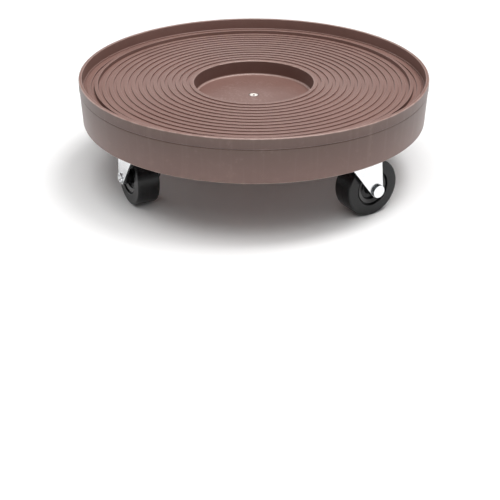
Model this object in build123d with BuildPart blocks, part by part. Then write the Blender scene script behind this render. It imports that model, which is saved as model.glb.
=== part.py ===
"""Round plant pot caddy: a moulded tray on four swivel plate casters.

Millimetres, +Z up. The origin is on the floor, under the centre of the tray.
The casters stand on the X and Y axes: front is -Y, right is +X, back is +Y and left is -X.
"""

from build123d import *
from math import cos, radians, sin, sqrt
import os

os.makedirs("parts", exist_ok=True)

# ---------------------------------------------------------------- driving dimensions

# Tray, from the rim inwards
tray_radius = 167.0
tray_height = 42.4
rim_thickness = 3.2
rim_chamfer = 0.9
rim_band_height = 9.8
rim_band_step = 0.8
skirt_lean = 0.9
skirt_thickness = 3.2
deck_drop = 10.5
deck_thickness = 4.7

# Concentric grooves that leave ribs on the deck, and the taller ring near the rim
groove_pitch = 7.0
groove_width = 3.5
groove_depth = 1.2
ring_rise = 2.2
rib_draft = 0.3
grooves_outside_ring = 2

# Sunk well in the middle, with the mark that the moulding's gate leaves
well_radius = 57.6
well_depth = 14.4
well_wall = 3.2
well_land = 4.0
well_thickness = 3.5
gate_radius = 3.8
gate_depth = 0.6
gate_pip_radius = 0.9

# Caster bays under the deck
stiffener_thickness = 2.2
land_above_skirt_edge = 9.4
stiffener_ramp = 34.0
stiffener_level_radius = 86.0
boss_radius = 4.0
boss_web = 2.0
pilot_depth = 13.0
plate_to_skirt = 14.1

# Caster top plate, with its pressed raceway
sheet = 2.0
plate_length = 56.2
plate_width = 33.4
plate_corner = 3.0
screw_pitch_long = 42.6
screw_pitch_short = 23.4
raceway_radius = 16.2
raceway_bevel = 0.6
raceway_height = 5.6

# Swivel bearing
ball_radius = 1.15
ball_play = 0.05
ball_circle_radius = 13.6
ball_count = 18
kingpin_radius = 4.0
kingpin_head_radius = 6.6
kingpin_head_height = 1.9
kingpin_head_chamfer = 0.6
stake_width = 1.5
stake_length = 7.6
stake_depth = 0.7
swivel_gap = 0.3
shaft_play = 0.08
rivet_play = 0.02
cup_thickness = 1.4
cup_radius = 9.6

# Fork
yoke_radius = 19.8
yoke_tail = 24.2
yoke_rim_height = 4.5
bowl_radius = 11.2
bowl_flank = 1.0
leg_front = 9.6
leg_tip_radius = 6.4
leg_gap = 31.0
bend_radius = 4.0
axle_trail = 20.8
axle_drop = 43.6

# Wheel and axle
wheel_radius = 27.6
tread_width = 21.6
shoulder = 0.85
side_ring = 9.8
ring_step = 1.6
ledge_width = 5.4
ledge_step = 2.6
hub_radius = 6.6
hub_to_leg = 0.4
axle_radius = 3.0
axle_head_radius = 6.2
axle_head_height = 2.6
axle_rolled_radius = 5.0
axle_rolled_height = 1.6
axle_hollow_radius = 2.6
axle_hollow_depth = 0.8

# Pan-head screws through the plate
screw_radius = 2.0
screw_length = 12.0
screw_head_radius = 4.0
screw_head_height = 2.2
screw_head_chamfer = 0.6
drive_width = 1.1
drive_length = 4.6
drive_depth = 1.3
screw_play = 0.2
pilot_play = 0.03

# Where each caster stands, and how far its fork is swivelled at rest, both from +X
bay_angles = {"front": -90, "right": 0, "back": 90, "left": 180}
swivel_angles = {"front": 165.8, "right": 82.0, "back": 0.0, "left": 90.0}

# ---------------------------------------------------------------- heights and places

seat_z = wheel_radius + axle_drop + sheet
skirt_edge_z = seat_z - land_above_skirt_edge
rim_z = skirt_edge_z + tray_height
deck_z = rim_z - deck_drop
deck_under_z = deck_z - deck_thickness
well_floor_z = deck_z - well_depth
well_under_z = well_floor_z - well_thickness
well_outer_radius = well_radius + well_wall

skirt_top_radius = tray_radius - rim_band_step
skirt_edge_radius = skirt_top_radius - skirt_lean
skirt_inner_radius = skirt_edge_radius - skirt_thickness
rim_inner_radius = tray_radius - rim_thickness

caster_circle = skirt_inner_radius - plate_to_skirt - plate_width / 2
groove_start = well_radius + well_land + groove_width / 2
groove_count = int((rim_inner_radius - groove_start) / groove_pitch) + 1

# Caster heights are below the plate's lower face, which is z = 0 in a caster's own frame
race_z = -raceway_height
yoke_top_z = race_z - 2 * (ball_radius + ball_play)
yoke_floor_z = yoke_top_z - sheet
yoke_rim_z = yoke_floor_z - yoke_rim_height
bowl_top_z = race_z - swivel_gap
bowl_floor_z = bowl_top_z - sheet
cup_top_z = bowl_floor_z - swivel_gap
cup_under_z = cup_top_z - cup_thickness
kingpin_hole_radius = kingpin_radius + rivet_play
leg_outer = leg_gap / 2 + sheet
hub_half_length = leg_gap / 2 - hub_to_leg


def write(piece, name):
    piece.label = name
    export_step(piece, f"parts/{name}.step")


def caster_spot(side):
    """The swivel axis where it crosses the lower face of the side's plate."""
    angle = radians(bay_angles[side])
    return caster_circle * cos(angle), caster_circle * sin(angle), seat_z - sheet


def at_bay(side):
    """A caster's own frame, turned with its bay: +X points away from the tray's middle."""
    return Location(caster_spot(side), (0, 0, bay_angles[side]))


def at_fork(side):
    """A caster's own frame, turned with its fork: the wheel trails towards +X."""
    return Location(caster_spot(side), (0, 0, swivel_angles[side]))


def write_copies(piece, name, place):
    """Write one copy of a caster's piece for each of the four casters."""
    for side in bay_angles:
        with BuildPart() as copy:
            add(piece.moved(place(side)))
        write(copy.part, f"{name}_{side}")


def write_group(piece, name):
    """Write a fastener of all four casters as one group of separate solids."""
    copies = [piece.moved(at_bay(side)) for side in bay_angles]
    solids = [solid for copy in copies for solid in copy.solids()]
    write(Compound(children=solids), name)


# ---------------------------------------------------------------- tray

# The tray is one moulding. Its skirt, deck, well and four caster bays are solids of their own
# that meet face to face, so that each hollow between them stays open.

# Skirt and rim: one wall turned about Z, with a ledge that carries the deck
with BuildPart() as tray_skirt:
    with BuildSketch(Plane.XZ):
        with BuildLine():
            Polyline(
                (skirt_edge_radius, skirt_edge_z),
                (skirt_inner_radius, skirt_edge_z),
                (skirt_inner_radius, deck_under_z),
                (rim_inner_radius, deck_under_z),
                (rim_inner_radius, rim_z - rim_chamfer),
                (rim_inner_radius + rim_chamfer, rim_z),
                (tray_radius - rim_chamfer, rim_z),
                (tray_radius, rim_z - rim_chamfer),
                (tray_radius, rim_z - rim_band_height),
                (skirt_top_radius, rim_z - rim_band_height - rim_band_step),
                close=True,
            )
        make_face()
    revolve(axis=Axis.Z)

write(tray_skirt.part, "tray_skirt")

# Deck: a flat ring with concentric grooves that leave the ribs, and one taller rib
with BuildPart() as tray_deck:
    with BuildSketch(Plane.XZ):
        with Locations(((well_outer_radius + rim_inner_radius) / 2, (deck_z + deck_under_z) / 2)):
            Rectangle(rim_inner_radius - well_outer_radius, deck_thickness)
        for index in range(groove_count):
            middle = groove_start + index * groove_pitch
            Polygon(
                (middle - groove_width / 2, deck_z),
                (middle - groove_width / 2 + rib_draft, deck_z - groove_depth),
                (middle + groove_width / 2 - rib_draft, deck_z - groove_depth),
                (middle + groove_width / 2, deck_z),
                align=None,
                mode=Mode.SUBTRACT,
            )
        ring_groove = groove_start + (groove_count - grooves_outside_ring) * groove_pitch
        ring_middle = ring_groove - groove_pitch / 2
        ring_half = (groove_pitch - groove_width) / 2
        Polygon(
            (ring_middle - ring_half, deck_z),
            (ring_middle + ring_half, deck_z),
            (ring_middle + ring_half - rib_draft, deck_z + ring_rise),
            (ring_middle - ring_half + rib_draft, deck_z + ring_rise),
            align=None,
        )
    revolve(axis=Axis.Z)

write(tray_deck.part, "tray_deck")

# Well: a flat-bottomed cup sunk through the deck, with the gate mark in its floor
with BuildPart() as tray_well:
    with BuildSketch(Plane.XY.offset(well_under_z)):
        Circle(well_outer_radius)
    extrude(amount=deck_z - well_under_z)
    with BuildSketch(Plane.XY.offset(well_floor_z)):
        Circle(well_radius)
    extrude(amount=well_depth, mode=Mode.SUBTRACT)
    with BuildSketch(Plane.XY.offset(well_floor_z)):
        Circle(gate_radius)
        Circle(gate_pip_radius, mode=Mode.SUBTRACT)
    extrude(amount=-gate_depth, mode=Mode.SUBTRACT)

write(tray_well.part, "tray_well")

# Bay: the ribs and screw bosses under the deck that carry one caster, on the +X side
with BuildPart() as caster_bay:
    edge_y = plate_length / 2

    # Two stiffeners that slope down from the well to the plate and run on to the skirt
    for y in (-edge_y, edge_y):
        with BuildSketch(Plane.XZ.offset(y)):
            Polygon(
                (0, deck_under_z),
                (0, well_under_z),
                (stiffener_level_radius - stiffener_ramp, well_under_z),
                (stiffener_level_radius, seat_z),
                (tray_radius, seat_z),
                (tray_radius, deck_under_z),
                align=None,
            )
        extrude(amount=stiffener_thickness / 2, both=True)

    # Cross rib under the plate's inner edge, and four bosses tied to the stiffeners
    with BuildSketch(Plane.XY.offset(seat_z)):
        with Locations((caster_circle - plate_width / 2, 0)):
            Rectangle(stiffener_thickness, plate_length)
        with Locations((caster_circle, 0)):
            with GridLocations(screw_pitch_short, screw_pitch_long, 2, 2):
                Circle(boss_radius)
            with GridLocations(screw_pitch_short, screw_pitch_long / 2 + edge_y, 2, 2):
                Rectangle(boss_web, edge_y - screw_pitch_long / 2)
    extrude(amount=deck_under_z - seat_z)

    # The ribs end on the well's wall and on the skirt's wall
    with BuildSketch(Plane.XY.offset(seat_z)):
        Circle(well_outer_radius)
    extrude(amount=deck_under_z - seat_z, mode=Mode.SUBTRACT)
    with BuildSketch(Plane.XY.offset(seat_z)):
        Circle(skirt_inner_radius)
    extrude(amount=deck_under_z - seat_z, mode=Mode.INTERSECT)

    # Pilot holes for the screws
    with BuildSketch(Plane.XY.offset(seat_z)):
        with Locations((caster_circle, 0)):
            with GridLocations(screw_pitch_short, screw_pitch_long, 2, 2):
                Circle(screw_radius + pilot_play)
    extrude(amount=pilot_depth, mode=Mode.SUBTRACT)

for side, angle in bay_angles.items():
    with BuildPart() as turned_bay:
        add(caster_bay.part, rotation=(0, 0, angle))
    write(turned_bay.part, f"tray_bay_{side}")

# ---------------------------------------------------------------- caster: fixed pieces

# Stamped top plate: its raceway is pressed down, which leaves a hollow above
with BuildPart() as plate:
    with BuildSketch():
        RectangleRounded(plate_width, plate_length, plate_corner)
    extrude(amount=sheet)
    with BuildSketch(Plane.XY.offset(race_z)):
        Circle(raceway_radius)
    extrude(amount=raceway_height)
    chamfer(plate.edges().group_by(Axis.Z)[0], raceway_bevel)
    with BuildSketch(Plane.XY.offset(race_z + sheet)):
        Circle(raceway_radius - sheet)
    extrude(amount=raceway_height, mode=Mode.SUBTRACT)
    with BuildSketch(Plane.XY.offset(race_z)):
        Circle(kingpin_hole_radius)
    extrude(amount=sheet, mode=Mode.SUBTRACT)
    with BuildSketch():
        with GridLocations(screw_pitch_short, screw_pitch_long, 2, 2):
            Circle(screw_radius + screw_play)
    extrude(amount=sheet, mode=Mode.SUBTRACT)

write_copies(plate.part, "plate", at_bay)

# Kingpin: a rivet, its upper head in the plate's hollow and its lower head under the cup
with BuildPart() as kingpin:
    with BuildSketch(Plane.XZ):
        with BuildLine():
            Polyline(
                (0, race_z + sheet + kingpin_head_height),
                (kingpin_head_radius, race_z + sheet + kingpin_head_height),
                (kingpin_head_radius, race_z + sheet),
                (kingpin_radius, race_z + sheet),
                (kingpin_radius, cup_under_z),
                (kingpin_head_radius, cup_under_z),
                (kingpin_head_radius, cup_under_z - kingpin_head_height + kingpin_head_chamfer),
                (kingpin_head_radius - kingpin_head_chamfer, cup_under_z - kingpin_head_height),
                (0, cup_under_z - kingpin_head_height),
                close=True,
            )
        make_face()
    revolve(axis=Axis.Z)

    # Cross staked into the lower head
    with BuildSketch(Plane.XY.offset(cup_under_z - kingpin_head_height)):
        Rectangle(stake_length, stake_width)
        Rectangle(stake_width, stake_length)
    extrude(amount=stake_depth, mode=Mode.SUBTRACT)

write_group(kingpin.part, "kingpins")

# Washer that the kingpin's lower head holds under the fork's bowl
with BuildPart() as race_cup:
    with BuildSketch(Plane.XZ):
        with BuildLine():
            Polyline(
                (kingpin_hole_radius, cup_top_z),
                (cup_radius, cup_top_z),
                (cup_radius, cup_under_z),
                (kingpin_hole_radius, cup_under_z),
                close=True,
            )
        make_face()
    revolve(axis=Axis.Z)

write_group(race_cup.part, "race_cups")

# Balls between the plate's raceway and the fork, drawn with flat facets to stay light
with BuildPart() as balls:
    with Locations((0, 0, race_z - ball_radius - ball_play)):
        with PolarLocations(ball_circle_radius, ball_count):
            Box(2 * ball_radius, 2 * ball_radius, 2 * ball_radius)
    chamfer(balls.edges(), ball_radius * (1 - 1 / (1 + sqrt(2))))

write_group(balls.part, "race_balls")

# Pan-head screws with a cross drive, from below through the plate into the tray's bosses
with BuildPart() as screws:
    with GridLocations(screw_pitch_short, screw_pitch_long, 2, 2):
        with Locations((0, 0, screw_length / 2)):
            Cylinder(screw_radius, screw_length)
        with Locations((0, 0, -screw_head_height / 2)):
            Cylinder(screw_head_radius, screw_head_height)
    chamfer(screws.edges().group_by(Axis.Z)[0], screw_head_chamfer)
    with BuildSketch(Plane.XY.offset(-screw_head_height)):
        with GridLocations(screw_pitch_short, screw_pitch_long, 2, 2):
            Rectangle(drive_length, drive_width)
            Rectangle(drive_width, drive_length)
    extrude(amount=drive_depth, mode=Mode.SUBTRACT)

write_group(screws.part, "plate_screws")

# ---------------------------------------------------------------- caster: swivelling fork

with BuildPart() as yoke:
    # Folded strip: the flat base and both legs at full width, bent with a round at each root
    leg_end_z = -axle_drop - leg_tip_radius
    with BuildSketch(Plane.YZ.offset(-yoke_radius)):
        with Locations((0, (yoke_top_z + leg_end_z) / 2)):
            Rectangle(2 * leg_outer, yoke_top_z - leg_end_z)
        fillet(vertices().group_by(Axis.Y)[-1], bend_radius)
        with BuildSketch(Plane.YZ.offset(-yoke_radius), mode=Mode.SUBTRACT):
            with Locations((0, (yoke_floor_z + leg_end_z) / 2)):
                Rectangle(leg_gap, yoke_floor_z - leg_end_z)
            fillet(vertices().group_by(Axis.Y)[-1], bend_radius - sheet)
    extrude(amount=yoke_radius + yoke_tail)

    # Side outline: the legs taper to the axle, and the base runs on in front of them
    with BuildSketch(Plane.XZ):
        with Locations((axle_trail, -axle_drop)):
            Circle(leg_tip_radius)
        with Locations(((yoke_tail - leg_front) / 2, (yoke_top_z + yoke_rim_z) / 2)):
            Rectangle(yoke_tail + leg_front, yoke_top_z - yoke_rim_z)
        make_hull()
        with Locations((-yoke_radius / 2, (yoke_top_z + yoke_rim_z) / 2)):
            Rectangle(yoke_radius, yoke_top_z - yoke_rim_z)
        with Locations((axle_trail, -axle_drop)):
            Circle(axle_radius + rivet_play, mode=Mode.SUBTRACT)
    extrude(amount=leg_outer, both=True, mode=Mode.INTERSECT)

    # Plan outline: round in front, with a straight rear edge
    with BuildSketch(Plane.XY.offset(yoke_top_z)):
        Circle(yoke_radius)
        with Locations((yoke_radius, 0)):
            Rectangle(2 * yoke_radius, 2 * yoke_radius)
    extrude(amount=leg_end_z - yoke_top_z, mode=Mode.INTERSECT)

    # Rim turned down round the front of the base, from leg to leg
    with BuildSketch(Plane.XY.offset(yoke_floor_z)):
        Circle(yoke_radius)
        Circle(yoke_radius - sheet, mode=Mode.SUBTRACT)
        with Locations((-yoke_radius / 2, 0)):
            Rectangle(yoke_radius, leg_gap + sheet, mode=Mode.INTERSECT)
    extrude(amount=yoke_rim_z - yoke_floor_z)

    # Bowl pressed up inside the ring of balls, with the kingpin's hole
    with BuildSketch(Plane.XY.offset(yoke_top_z)):
        Circle(bowl_radius)
    extrude(amount=bowl_top_z - yoke_top_z)
    with BuildSketch(Plane.XY.offset(yoke_floor_z)):
        Circle(bowl_radius - bowl_flank)
    extrude(amount=bowl_floor_z - yoke_floor_z, mode=Mode.SUBTRACT)
    with BuildSketch(Plane.XY.offset(bowl_top_z)):
        Circle(kingpin_radius + shaft_play)
    extrude(amount=-sheet, mode=Mode.SUBTRACT)

write_copies(yoke.part, "yoke", at_fork)

# Axle: a rivet with a flat head on the right and a rolled, hollow end on the left
with BuildPart() as axle:
    with BuildSketch(Plane.XY.offset(-axle_drop)):
        with BuildLine():
            Polyline(
                (axle_trail, -leg_outer - axle_head_height),
                (axle_trail + axle_head_radius, -leg_outer - axle_head_height),
                (axle_trail + axle_head_radius, -leg_outer),
                (axle_trail + axle_radius, -leg_outer),
                (axle_trail + axle_radius, leg_outer),
                (axle_trail + axle_rolled_radius, leg_outer),
                (axle_trail + axle_rolled_radius, leg_outer + axle_rolled_height),
                (axle_trail + axle_hollow_radius, leg_outer + axle_rolled_height),
                (axle_trail + axle_hollow_radius, leg_outer - axle_hollow_depth),
                (axle_trail, leg_outer - axle_hollow_depth),
                close=True,
            )
        make_face()
    axle_line = Axis((axle_trail, 0, -axle_drop), (0, 1, 0))
    revolve(axis=axle_line)

write_copies(axle.part, "axle", at_fork)

# Wheel: hard tread with chamfered shoulders, a side stepped in twice and a long hub
with BuildPart() as wheel:
    with BuildSketch(Plane.XY.offset(-axle_drop)):
        ring_inner = wheel_radius - shoulder - side_ring
        ledge_inner = ring_inner - ledge_width
        ledge_y = tread_width / 2 - ring_step
        recess_y = ledge_y - ledge_step
        with BuildLine():
            Polyline(
                (axle_trail + axle_radius + shaft_play, 0),
                (axle_trail + axle_radius + shaft_play, hub_half_length),
                (axle_trail + hub_radius, hub_half_length),
                (axle_trail + hub_radius, recess_y),
                (axle_trail + ledge_inner, recess_y),
                (axle_trail + ledge_inner, ledge_y),
                (axle_trail + ring_inner, ledge_y),
                (axle_trail + ring_inner, tread_width / 2),
                (axle_trail + wheel_radius - shoulder, tread_width / 2),
                (axle_trail + wheel_radius, tread_width / 2 - shoulder),
                (axle_trail + wheel_radius, 0),
                close=True,
            )
        make_face()
        mirror(about=Plane.XZ)
    revolve(axis=axle_line)

write_copies(wheel.part, "wheel", at_fork)
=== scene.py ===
import math
import random

import bmesh
import bpy
from mathutils import Matrix, Vector


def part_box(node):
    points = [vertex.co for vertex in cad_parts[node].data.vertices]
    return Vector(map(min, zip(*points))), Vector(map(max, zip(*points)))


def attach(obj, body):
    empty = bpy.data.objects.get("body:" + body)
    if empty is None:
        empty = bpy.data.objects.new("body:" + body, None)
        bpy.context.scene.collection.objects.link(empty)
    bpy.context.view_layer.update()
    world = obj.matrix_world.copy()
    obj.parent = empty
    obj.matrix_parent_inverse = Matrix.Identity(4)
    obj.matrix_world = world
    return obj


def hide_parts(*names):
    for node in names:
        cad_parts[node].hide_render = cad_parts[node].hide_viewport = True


# Frame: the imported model, which every piece below takes its place from.
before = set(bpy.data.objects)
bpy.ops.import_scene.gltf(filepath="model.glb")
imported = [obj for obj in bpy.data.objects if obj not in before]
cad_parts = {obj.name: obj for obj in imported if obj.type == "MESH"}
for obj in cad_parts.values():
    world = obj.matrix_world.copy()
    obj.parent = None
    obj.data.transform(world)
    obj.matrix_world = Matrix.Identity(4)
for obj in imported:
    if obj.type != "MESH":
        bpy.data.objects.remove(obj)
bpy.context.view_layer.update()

# ---------------------------------------------------------------------------------------
# Camera: stands to the front right of the caddy, looking down over its rim at a low angle.
# It aims at the floor in front of the casters, so the caddy stands in the frame's upper half.
rim_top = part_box("tray_skirt")[1].z
camera_distance = 1.0848
camera_side = math.radians(49.01)
camera_height = math.radians(19.67)
aim_side = math.radians(49.216)
aim_down = math.radians(28.824)
lens_length = 80.33

camera = bpy.data.objects.new("camera", bpy.data.cameras.new("camera"))
bpy.context.scene.collection.objects.link(camera)
camera.data.sensor_width = 36
camera.data.lens = lens_length
camera.location = (
    camera_distance * math.cos(camera_height) * math.sin(camera_side),
    -camera_distance * math.cos(camera_height) * math.cos(camera_side),
    rim_top + camera_distance * math.sin(camera_height),
)
camera.rotation_euler = (math.pi / 2 - aim_down, 0, aim_side)
bpy.context.scene.camera = camera

# ---------------------------------------------------------------------------------------
# Studio: a matt white floor, lit by a large soft box overhead and two smaller ones that cast
# the shadow, with faint low ones all round, under a sky that is pale low down.
floor_half = 4.0
floor_white = 0.93
low_sky_strength = 0.34
high_sky_strength = 0.06
side_size = 0.8
lit_spot = Vector((0, 0, 0.05))
mm = 0.001


class Value:
    """A shader socket that ordinary arithmetic works on: an expression adds its Math nodes."""

    def __init__(self, tree, socket):
        self.tree = tree
        self.socket = socket

    def node(self, kind, settings, sockets, output=0):
        """A node of any kind. Its settings are set first, then its sockets' values or links."""
        made = self.tree.nodes.new(kind)
        for name, setting in settings.items():
            setattr(made, name, setting)
        for name, value in sockets.items():
            if isinstance(value, Value):
                self.tree.links.new(value.socket, made.inputs[name])
            else:
                made.inputs[name].default_value = value
        return Value(self.tree, made.outputs[output])

    def math(self, operation, first, second=0.0):
        return self.node("ShaderNodeMath", {"operation": operation}, {0: first, 1: second})

    def __add__(self, other):
        return self.math("ADD", self, other)

    def __radd__(self, other):
        return self.math("ADD", other, self)

    def __sub__(self, other):
        return self.math("SUBTRACT", self, other)

    def __rsub__(self, other):
        return self.math("SUBTRACT", other, self)

    def __mul__(self, other):
        return self.math("MULTIPLY", self, other)

    def __rmul__(self, other):
        return self.math("MULTIPLY", other, self)

    def __abs__(self):
        return self.math("ABSOLUTE", self)

    def between(self, low, high):
        """0 below low, 1 above high, and a smooth step from one to the other."""
        settings = {"interpolation_type": "SMOOTHSTEP"}
        sockets = {"Value": self, "From Min": low, "From Max": high}
        return self.node("ShaderNodeMapRange", settings, sockets)

    def past(self, start, end):
        """0 short of a start in millimetres, and 1 past an end."""
        return self.between(start * mm, end * mm)

    def short_of(self, start, end):
        """1 short of a start in millimetres, and 0 past an end."""
        return 1 - self.past(start, end)

    def noise(self, scale, detail=2.0, roughness=0.5):
        """Noise from 0 to 1 at this place, with so many cells to the metre."""
        sockets = {"Vector": self, "Scale": scale, "Detail": detail, "Roughness": roughness}
        return self.node("ShaderNodeTexNoise", {}, sockets)

    def stretched(self, across, along, up):
        """This place with each direction scaled by its own number."""
        sockets = {0: self, 1: (across, along, up)}
        return self.node("ShaderNodeVectorMath", {"operation": "MULTIPLY"}, sockets)

    def part(self, axis):
        """One of the three numbers of this place."""
        return self.node("ShaderNodeSeparateXYZ", {}, {0: self}, output="XYZ".index(axis))

    def from_axis(self):
        """How far this place is from the piece's own Z axis."""
        flat = {0: self.stretched(1.0, 1.0, 0.0)}
        return self.node("ShaderNodeVectorMath", {"operation": "LENGTH"}, flat, output=1)

    def mix(self, first, second):
        """The first colour where this value is 0, the second where it is 1."""
        settings = {"data_type": "RGBA"}
        return self.node("ShaderNodeMix", settings, {0: self, 6: first, 7: second}, output=2)


def colour(red, green, blue):
    """A colour given in the 0 to 255 steps of a paint chart, as the linear one shaders use."""
    steps = [step / 255 for step in (red, green, blue)]
    linear = [s / 12.92 if s <= 0.04045 else ((s + 0.055) / 1.055) ** 2.4 for s in steps]
    return (*linear, 1.0)


def start_finish(name, **constants):
    """A new material with its shader's constant settings, and the place on the piece."""
    material = bpy.data.materials.new(name)
    material.use_nodes = True
    shader = material.node_tree.nodes["Principled BSDF"]
    for socket, value in constants.items():
        shader.inputs[socket.replace("_", " ")].default_value = value
    texture_place = material.node_tree.nodes.new("ShaderNodeTexCoord")
    return material, shader, Value(material.node_tree, texture_place.outputs["Object"])


def feed(shader, **values):
    """Link the values that change over a surface to the shader's sockets."""
    for socket, value in values.items():
        value.tree.links.new(value.socket, shader.inputs[socket.replace("_", " ")])


def bump(height, strength, distance):
    """A normal that a height bends, with the height's full swing given in metres."""
    sockets = {"Height": height, "Strength": strength, "Distance": distance}
    return height.node("ShaderNodeBump", {}, sockets)


floor_paint, floor_shader, floor_place = start_finish(
    "floor_paint", Roughness=0.9, Specular_IOR_Level=0.1
)
speckle = floor_place.noise(60.0, detail=3.0)
near_white = (floor_white, floor_white, floor_white, 1.0)
off_white = (floor_white * 0.985, floor_white * 0.98, floor_white * 0.975, 1.0)
feed(floor_shader, Base_Color=speckle.mix(near_white, off_white))


def blend(tree, share, first, second, surface):
    """Mix two shaders by a value, and feed the surface of a material or of the sky."""
    both = tree.nodes.new("ShaderNodeMixShader")
    for source, socket in ((share.socket, both.inputs["Fac"]), (first, both.inputs[1]),
                           (second, both.inputs[2]), (both.outputs["Shader"], surface)):
        tree.links.new(source, socket)


# From below the floor is clear, so that the caddy's underside can be looked at
floor_tree = floor_paint.node_tree
clear = floor_tree.nodes.new("ShaderNodeBsdfTransparent")
from_below = speckle.node("ShaderNodeNewGeometry", {}, {}, output=6)
blend(floor_tree, from_below, floor_shader.outputs["BSDF"], clear.outputs["BSDF"],
      floor_tree.nodes["Material Output"].inputs["Surface"])

floor_sheet = bmesh.new()
bmesh.ops.create_grid(floor_sheet, x_segments=8, y_segments=8, size=floor_half)
floor_mesh = bpy.data.meshes.new("studio_floor")
floor_sheet.to_mesh(floor_mesh)
floor_sheet.free()
floor = bpy.data.objects.new("studio_floor", floor_mesh)
floor.data.materials.append(floor_paint)
bpy.context.scene.collection.objects.link(floor)

sky = bpy.data.worlds.new("white_sky")
sky.use_nodes = True
high_sky = sky.node_tree.nodes["Background"]
high_sky.inputs["Strength"].default_value = high_sky_strength
low_sky = sky.node_tree.nodes.new("ShaderNodeBackground")
low_sky.inputs["Strength"].default_value = low_sky_strength
for background in (high_sky, low_sky):
    background.inputs["Color"].default_value = (1.0, 1.0, 1.0, 1.0)
toward = sky.node_tree.nodes.new("ShaderNodeTexCoord")
upward = Value(sky.node_tree, toward.outputs["Generated"]).part("Z").between(0.05, 0.42)
blend(sky.node_tree, upward, low_sky.outputs["Background"], high_sky.outputs["Background"],
      sky.node_tree.nodes["World Output"].inputs["Surface"])
bpy.context.scene.world = sky
bpy.context.scene.view_settings.view_transform = "Standard"

# Each soft box with its width, its power and its place
for name, size, power, place in (
    ("overhead_box", 6.0, 98.0, (0.85, -0.75, 4.0)),
    ("near_box", 3.2, 78.0, (1.13, -0.98, 4.0)),
    ("far_box", 1.7, 77.0, (0.85, 0.98, 4.0)),
    ("right_box", side_size, 1.8, (0.70, 1.11, 0.45)),
    ("left_box", side_size, 3.2, (-1.39, -0.45, 0.5)),
    ("rear_box", side_size, 1.2, (-1.21, 1.05, 0.6)),
    ("front_box", side_size, 2.8, (1.28, -1.12, 1.2)),
):
    lamp = bpy.data.lights.new(name, "AREA")
    lamp.shape = "DISK"
    lamp.size = size
    lamp.energy = power
    light = bpy.data.objects.new(name, lamp)
    light.location = place
    light.rotation_euler = (lit_spot - Vector(place)).to_track_quat("-Z", "Y").to_euler()
    bpy.context.scene.collection.objects.link(light)

# ---------------------------------------------------------------------------------------
# Tray shell: rim, ribbed deck, sunk well and skirt, one round moulding in satin taupe
# polypropylene. It is moulded through a gate in the middle of the well, which leaves a mark.
tray_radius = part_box("tray_skirt")[1].x / mm
rim_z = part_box("tray_skirt")[1].z / mm
skirt_edge_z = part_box("tray_skirt")[0].z / mm
deck_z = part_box("tray_well")[1].z / mm
deck_under_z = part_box("tray_deck")[0].z / mm
ring_top_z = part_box("tray_deck")[1].z / mm
well_under_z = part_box("tray_well")[0].z / mm
well_outer_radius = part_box("tray_well")[1].x / mm
wall = 3.2
well_floor = 3.5
band_height = 9.8
band_step = 0.8
skirt_draft = 0.9
skirt_swell = 0.38
skirt_nip = 0.12
well_radius = well_outer_radius - wall
well_floor_z = well_under_z + well_floor
rim_inner_radius = tray_radius - wall
rim_band_z = rim_z - band_height
skirt_top_radius = tray_radius - band_step
skirt_edge_radius = skirt_top_radius - skirt_draft
skirt_inner_radius = skirt_edge_radius - wall
groove_pitch = 7.0
groove_width = 3.5
groove_depth = 1.25
groove_count = 15
groove_draft = 0.2
groove_floor_z = deck_z - groove_depth
well_lip = 4.0
first_groove = well_radius + well_lip + groove_width / 2
ring_after_groove = 12
ring_middle = first_groove + (ring_after_groove + 0.5) * groove_pitch
rib_round = 0.28
rim_round = 1.3
well_fillet = 1.5
gate_radius = 3.8
gate_pip_radius = 1.0
gate_depth = 0.6
haze_radius = 34.0
frost_radius = 30.0
tray_turns = 200
worn_from_angle = 14
worn_angle_span = 12


def rounded(corners, steps=3, closed=False):
    """An outline from corners of (across, up, corner radius), each turned in an arc."""
    points = []
    last = len(corners) - 1
    for index, (across, up, radius) in enumerate(corners):
        here = Vector((across, up))
        if radius == 0 or (not closed and index in (0, last)):
            points.append((across, up))
            continue
        before = Vector(corners[index - 1][:2]) - here
        after = Vector(corners[(index + 1) % len(corners)][:2]) - here
        half = before.angle(after) / 2
        if math.pi / 2 - half < 0.01:
            points.append((across, up))
            continue
        reach = min(radius / math.tan(half), 0.48 * before.length, 0.48 * after.length)
        bow = reach * math.tan(half)
        centre = here + (before.normalized() + after.normalized()).normalized() * bow / math.sin(half)
        spoke = here + before.normalized() * reach - centre
        turn = math.pi - 2 * half
        if before.x * after.y - before.y * after.x > 0:
            turn = -turn
        for step in range(steps + 1):
            angle = turn * step / steps
            x = spoke.x * math.cos(angle) - spoke.y * math.sin(angle)
            y = spoke.x * math.sin(angle) + spoke.y * math.cos(angle)
            points.append((centre.x + x, centre.y + y))
    return points


def skin(loops, closed=False, ends_open=False):
    """A mesh whose faces join each loop of points to the next. A loop of one point is a tip."""
    made = bmesh.new()
    rings = [[made.verts.new(Vector(point) * mm) for point in loop] for loop in loops]
    pairs = list(zip(rings, rings[1:]))
    if closed:
        pairs.append((rings[-1], rings[0]))
    for lower, upper in pairs:
        count = max(len(lower), len(upper))
        for k in range(count - 1 if ends_open else count):
            corners = []
            for corner in (lower[k % len(lower)], lower[(k + 1) % len(lower)],
                           upper[(k + 1) % len(upper)], upper[k % len(upper)]):
                if corner not in corners:
                    corners.append(corner)
            if len(corners) > 2:
                made.faces.new(corners)
    return made


def circle(radius, height, turns):
    """A loop of points round the Z axis, or its one point where the radius is nothing."""
    if radius < 1e-6:
        return [(0.0, 0.0, height)]
    angles = [math.tau * k / turns for k in range(turns)]
    return [(radius * math.cos(a), radius * math.sin(a), height) for a in angles]


def turned(outline, turns, closed=False):
    """A mesh of an outline of (radius, height) turned about the Z axis."""
    return skin([circle(radius, height, turns) for radius, height in outline], closed)


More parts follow.
